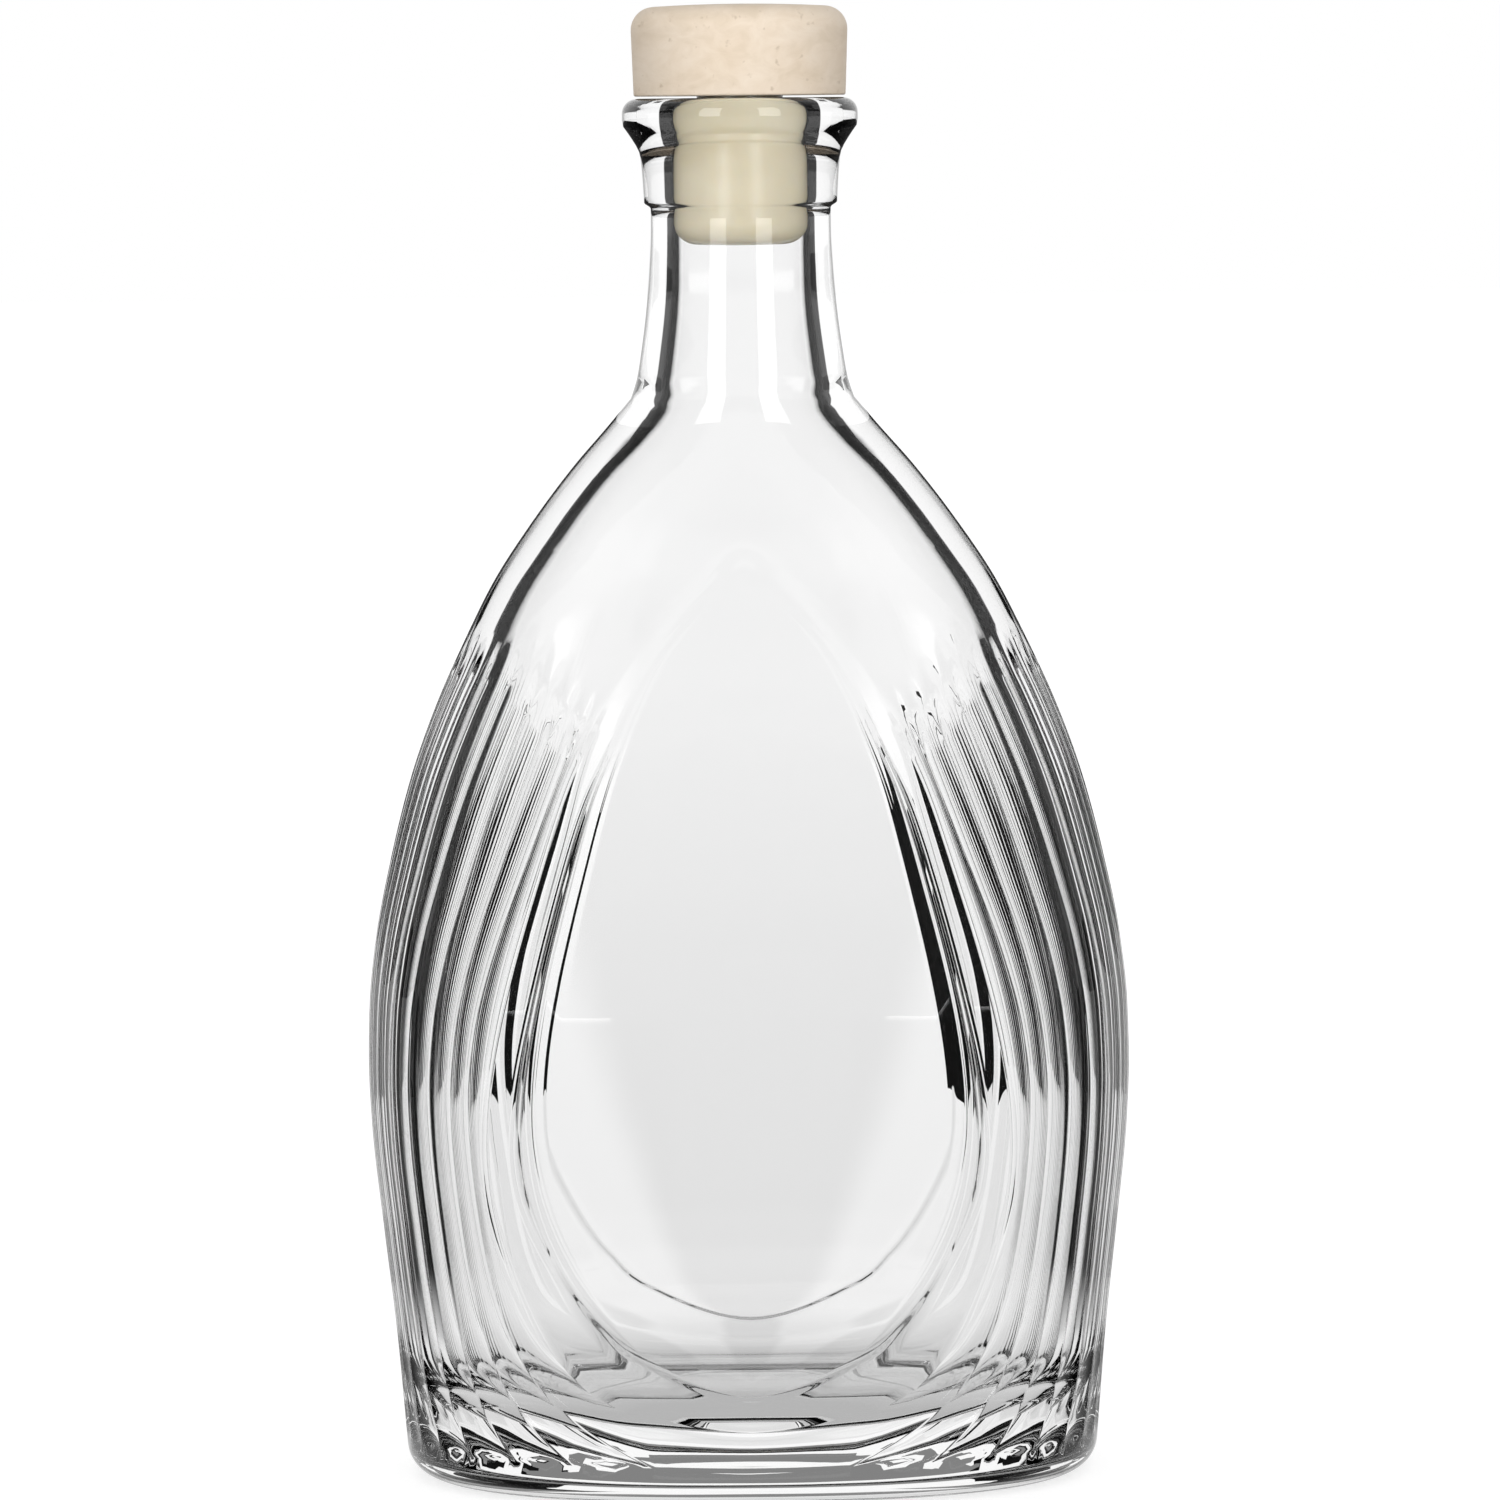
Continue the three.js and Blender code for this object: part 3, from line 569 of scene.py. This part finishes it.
cap_top = CAP_BOTTOM + CAP_HEIGHT
recess, recess_top = SPIGOT_RADIUS + CLEAR, SHANK_TOP + SPIGOT_LENGTH + CLEAR
rim = cap_top - CAP_CROWN - CAP_ROUND
cap_foot, cap_shoulder = CAP_RADIUS - CAP_TAPER - CAP_LOWER_EDGE, CAP_RADIUS - CAP_ROUND
cap_profile = ([(0, recess_top), (recess, recess_top), (recess, CAP_BOTTOM), (cap_foot, CAP_BOTTOM)]
               + arc(cap_foot, CAP_BOTTOM + CAP_LOWER_EDGE, CAP_LOWER_EDGE, -70, 0, 4)
               + arc(cap_shoulder, rim, CAP_ROUND, 0, 86, 20)
               + [(cap_shoulder * s, cap_top - CAP_CROWN * s * s) for s in (0.8, 0.6, 0.4, 0.2, 0)])
cap = piece("cap_wood", turned("cap_wood", cap_profile, 128), "stopper_cap", "stopper", wood_material())

shank_bottom, groove = SHANK_TOP - PLUG_LENGTH, SHANK_TOP - PLUG_GROOVE_DROP
narrow = PLUG_RADIUS - PLUG_GROOVE
groove_foot, groove_shoulder, GROOVE_SIDE = groove - PLUG_GROOVE_WIDTH - 0.2, groove - 0.5, 0.7
quarters = (0.25, 0.5, 0.75, 1)
plug_profile = ([(0, shank_bottom)]
                + arc(PLUG_RADIUS - PLUG_TIP_RADIUS, shank_bottom + PLUG_TIP_RADIUS, PLUG_TIP_RADIUS,
                      -90, 0, 16)
                + [(PLUG_RADIUS, groove_foot)]
                + [(mix(PLUG_RADIUS, narrow, float(ease(u))), groove_foot + GROOVE_SIDE * u)
                   for u in quarters]
                + [(mix(narrow, PLUG_RADIUS, float(ease(u))), groove_shoulder + GROOVE_SIDE * u)
                   for u in (0, *quarters)]
                + [(PLUG_RADIUS, SHANK_TOP), (SPIGOT_RADIUS, SHANK_TOP),
                   (SPIGOT_RADIUS, SHANK_TOP + SPIGOT_LENGTH), (0, SHANK_TOP + SPIGOT_LENGTH)])
plug = piece("plug_cork", turned("plug_cork", plug_profile, 128), "stopper_plug", "stopper", cork_material())


# Studio: white behind and below, dark cards at the sides of the background, two tall soft lights in front
def maths(kind, a, b):
    """Adds its node to t, the tree that is being built, as the helpers below do."""
    return node(t, "ShaderNodeMath", {0: a, 1: b}, operation=kind).outputs[0]


def azimuth(x, y):
    """Angle from straight behind the bottle (0) round to straight in front (pi), on either side."""
    return node(t, "ShaderNodeMath", {0: maths("ARCTAN2", x, y)}, operation="ABSOLUTE").outputs[0]


def span(value, lo, hi, soft):
    """1 between lo and hi, 0 outside, with soft borders."""
    up = node(t, "ShaderNodeMapRange", {"Value": value, "From Min": lo - soft, "From Max": lo + soft},
              interpolation_type="SMOOTHSTEP").outputs["Result"]
    down = node(t, "ShaderNodeMapRange", {"Value": value, "From Min": hi - soft, "From Max": hi + soft,
                                          "To Min": 1.0, "To Max": 0.0},
                interpolation_type="SMOOTHSTEP").outputs["Result"]
    return maths("MULTIPLY", up, down)


def degrees(value, lo, hi, soft=1.0):
    return span(value, math.radians(lo), math.radians(hi), math.radians(soft))


def turned_back():
    """1 for light that was turned inside the walls of the glass."""
    return maths("GREATER_THAN", path.outputs["Glossy Depth"], 0.5)


def choose(when, yes, no):
    return node(t, "ShaderNodeMix", {"Factor": when, 2: no, 3: yes}, data_type="FLOAT").outputs[0]


SIDE_DARK = 46  # degrees from behind: from here on, light turned back by the walls finds no white
world = bpy.data.worlds.new("studio")
scene.world = world
world.use_nodes = True
t = world.node_tree
background = t.nodes["Background"]
way = node(t, "ShaderNodeTexCoord").outputs["Generated"]
xyz = node(t, "ShaderNodeSeparateXYZ", {0: way})
path = node(t, "ShaderNodeLightPath")
turn = azimuth(xyz.outputs["X"], xyz.outputs["Y"])
# through the glass: white, but dark above, and at the sides and in front for light turned back in the walls
turned_in = turned_back()
ceiling = span(xyz.outputs["Z"], 0.5, 2.0, 0.06)
upward = maths("MULTIPLY", maths("SUBTRACT", 1.0, turned_in), span(xyz.outputs["Z"], 0.2, 2.0, 0.04))
upward = maths("MULTIPLY", upward, 0.8)
sideways = maths("MULTIPLY", turned_in, degrees(turn, SIDE_DARK, 200))
shade = maths("MAXIMUM", sideways, maths("MAXIMUM", ceiling, upward))
seen = maths("SUBTRACT", 1.03, maths("MULTIPLY", shade, 0.98))
# in mirror images: dark in front but for two tall lamps
lamp = maths("MULTIPLY", degrees(turn, 140, 161), span(xyz.outputs["Z"], -0.03, 0.62, 0.01))
front = node(t, "ShaderNodeMapRange", {"Value": xyz.outputs["Y"], "From Min": -0.1, "From Max": 0.5,
                                       "To Min": 0.02, "To Max": 1.0}).outputs["Result"]
mirror = maths("ADD", front, maths("MULTIPLY", lamp, 4.0))
value = choose(path.outputs["Is Glossy Ray"], mirror, 0.5)
value = choose(path.outputs["Is Transmission Ray"], seen, value)
value = choose(path.outputs["Is Camera Ray"], 1.0, value)
colour = node(t, "ShaderNodeCombineColor", {0: value, 1: value, 2: value}).outputs[0]
t.links.new(colour, background.inputs["Color"])
background.inputs["Strength"].default_value = 1


def stage_piece(name, points, faces, look):
    mesh = bpy.data.meshes.new(name)
    mesh.from_pydata(points, [], faces)
    mesh.materials.append(look)
    obj = bpy.data.objects.new(name, mesh)
    scene.collection.objects.link(obj)
    return obj


def unseen_by(obj, *rays):
    for ray in rays:
        setattr(obj, "visible_" + ray, False)


def matt(name, grey):
    m, tree, bsdf, out = material(name)
    bsdf.inputs["Base Color"].default_value = (grey, grey, grey, 1)
    bsdf.inputs["Roughness"].default_value = 1
    return m, tree, bsdf, out


FLOOR_HALF, FLOOR_Z = 6, -0.0001
m, t, bsdf, out = matt("pale_floor", 0.9)
bsdf.inputs["Specular IOR Level"].default_value = 0
place = node(t, "ShaderNodeNewGeometry").outputs["Position"]
xyz = node(t, "ShaderNodeSeparateXYZ", {0: place})
path = node(t, "ShaderNodeLightPath")
turn = azimuth(xyz.outputs["X"], xyz.outputs["Y"])
reach = node(t, "ShaderNodeVectorMath", {0: place}, operation="LENGTH").outputs["Value"]
# seen through the glass: a painted shadow, darker under the foot, then white, and a painted glint a little
# brighter beside the middle
turned_in = turned_back()
beyond = maths("MULTIPLY", degrees(turn, SIDE_DARK, 200), span(reach, 0.12, 50.0, 0.03))
dark = maths("MULTIPLY", turned_in, beyond)
# painted shadow under the foot, fading out to white farther off
pale = ramp(t, maths("MULTIPLY", reach, 0.4), [(at, (grey,) * 3) for at, grey in (
    (0.013, 0.5), (0.02, 0.74), (0.032, 0.86), (0.3, 0.95), (0.6, 1), (1.0, 1.06))])
# painted highlight: the floor glows a little brighter just to either side of straight behind
glint = maths("MULTIPLY", maths("MULTIPLY", span(reach, -1.0, 2.2, 0.3), degrees(turn, 4.5, 14)), 0.14)
glint = maths("MULTIPLY", glint, maths("SUBTRACT", 1.0, turned_in))
under = node(t, "ShaderNodeEmission", {"Color": pale, "Strength": maths(
    "ADD", maths("SUBTRACT", 1.0, maths("MULTIPLY", dark, 0.99)), glint)})
# seen directly: lifted to white, with the bottle's shadow left
glow = node(t, "ShaderNodeEmission", {"Strength": maths("MULTIPLY", path.outputs["Is Camera Ray"], 0.66)})
lit = node(t, "ShaderNodeAddShader", {0: bsdf.outputs[0], 1: glow.outputs[0]})
both = node(t, "ShaderNodeMixShader", {0: path.outputs["Is Transmission Ray"], 1: lit.outputs[0],
                                       2: under.outputs[0]})
t.links.new(both.outputs[0], out.inputs["Surface"])
floor = stage_piece("floor", [(x * FLOOR_HALF, y * FLOOR_HALF, FLOOR_Z) for x, y in
                              ((-1, -1), (1, -1), (1, 1), (-1, 1))], [(0, 1, 2, 3)], m)
unseen_by(floor, "glossy")

stopper_only = bpy.data.collections.new("stopper_only")
stopper_only.objects.link(cap)
stopper_only.objects.link(plug)


SOFTBOX_SIZE, SOFTBOX_PLACE, SOFTBOX_AIM, SOFTBOX_POWER = (0.4, 1.0), (0.55, -1.05, 0.4), (0, 0, 0.19), 7


def softbox(name, side):
    """A lamp that lights the stopper only; the glass shows the world's lamps instead."""
    light = bpy.data.lights.new(name, "AREA")
    light.shape, light.energy = "RECTANGLE", SOFTBOX_POWER
    light.size, light.size_y = SOFTBOX_SIZE
    obj = bpy.data.objects.new(name, light)
    scene.collection.objects.link(obj)
    x, y, z = SOFTBOX_PLACE
    obj.location = (side * x, y, z)
    obj.rotation_euler = (Vector(SOFTBOX_AIM) - obj.location).to_track_quat("-Z", "Y").to_euler()
    unseen_by(obj, "camera", "transmission")
    obj.light_linking.receiver_collection = stopper_only


softbox("left_softbox", -1)
softbox("right_softbox", 1)
unseen_by(glass, "shadow")

# Low dark cards stand behind the bottle, to the sides; only light that went through glass meets them
CARD_REACH, CARD_HEIGHT, CARD_STEPS = 0.36, 0.1, 4
CARD_SPANS = ((-78, -57), (-36, -14), (10, 36), (57, 75))  # degrees from straight behind
card_points, card_faces = [], []
for start, end in CARD_SPANS:
    for i in range(CARD_STEPS):
        n = len(card_points)
        card_points += [(CARD_REACH * math.sin(a), CARD_REACH * math.cos(a), z)
                        for a in np.radians([mix(start, end, (i + k) / CARD_STEPS) for k in (0, 1)])
                        for z in (0.0, CARD_HEIGHT)]
        card_faces.append((n, n + 1, n + 3, n + 2))
m, _, bsdf, _ = matt("card_black", 0.01)
bsdf.inputs["Specular IOR Level"].default_value = 0
cards = stage_piece("cards", card_points, card_faces, m)
unseen_by(cards, "camera", "diffuse", "glossy", "shadow")

# A low card close behind the foot, and one before it: only light that the underside turned back up meets them
FOOT_REACH, FOOT_CARD_Z, FOOT_HALF_SPAN, FOOT_COLUMNS, FOOT_GLOW = 0.1, (0.0125, 0.0235), 28, 15, 0.24
foot_points = [(FOOT_REACH * math.sin(a), side * FOOT_REACH * math.cos(a), z) for side in (1, -1)
               for z in FOOT_CARD_Z
               for a in np.radians(np.linspace(-FOOT_HALF_SPAN, FOOT_HALF_SPAN, FOOT_COLUMNS))]
foot_faces = [(k + i, k + i + 1, k + i + 1 + FOOT_COLUMNS, k + i + FOOT_COLUMNS)
              for k in (0, 2 * FOOT_COLUMNS) for i in range(FOOT_COLUMNS - 1)]
m, t, bsdf, out = matt("foot_card_grey", 0)
bsdf.inputs["Specular IOR Level"].default_value = 0
bsdf.inputs["Emission Color"].default_value = (1, 1, 1, 1)
bsdf.inputs["Emission Strength"].default_value = FOOT_GLOW
path = node(t, "ShaderNodeLightPath")
clear = node(t, "ShaderNodeBsdfTransparent")
both = node(t, "ShaderNodeMixShader", {0: turned_back(), 1: clear.outputs[0], 2: bsdf.outputs[0]})
t.links.new(both.outputs[0], out.inputs["Surface"])
foot_card = stage_piece("foot_card", foot_points, foot_faces, m)
unseen_by(foot_card, "camera", "diffuse", "glossy", "shadow")

# A cone below the neck keeps the two lamps' mirror images off the body; only reflections meet it
FLAG_SIDES, FLAG_TOP, FLAG_FOOT = 64, (0.0195, 0.1493), (5.0, -0.05)  # each edge's radius and height
flag_points = [(r * math.cos(a), r * math.sin(a), z) for r, z in (FLAG_TOP, FLAG_FOOT)
               for a in np.linspace(0, 2 * math.pi, FLAG_SIDES + 1)[:-1]]
flag_faces = [(i, (i + 1) % FLAG_SIDES, FLAG_SIDES + (i + 1) % FLAG_SIDES, FLAG_SIDES + i)
              for i in range(FLAG_SIDES)]
flag = stage_piece("flag", flag_points, flag_faces, matt("flag_black", 0.02)[0])
unseen_by(flag, "camera", "diffuse", "transmission", "shadow", "volume_scatter")

# Camera: eye level at the lip, tilted down, and rolled as the photograph is
DISTANCE, EYE, PITCH, ROLL, SIDE = 0.940, 0.1909, math.radians(5.432), math.radians(0.55), 0.00057
SENSOR, FOCAL_PIXELS, IMAGE_PIXELS = 36, 6730, 1500
camera = bpy.data.objects.new("camera", bpy.data.cameras.new("camera"))
scene.collection.objects.link(camera)
camera.data.sensor_width, camera.data.lens = SENSOR, SENSOR * FOCAL_PIXELS / IMAGE_PIXELS
camera.data.clip_start, camera.data.clip_end = 0.05, 50
right, up = Vector((1, 0, 0)), Vector((0, math.sin(PITCH), math.cos(PITCH)))
ahead = Vector((0, math.cos(PITCH), -math.sin(PITCH)))
r = math.cos(ROLL) * right - math.sin(ROLL) * up
u = math.sin(ROLL) * right + math.cos(ROLL) * up
camera.matrix_world = Matrix.Translation((SIDE, -DISTANCE, EYE)) @ Matrix((
    (r.x, u.x, -ahead.x, 0), (r.y, u.y, -ahead.y, 0), (r.z, u.z, -ahead.z, 0), (0, 0, 0, 1)))
scene.camera = camera
scene.view_settings.view_transform = "Standard"
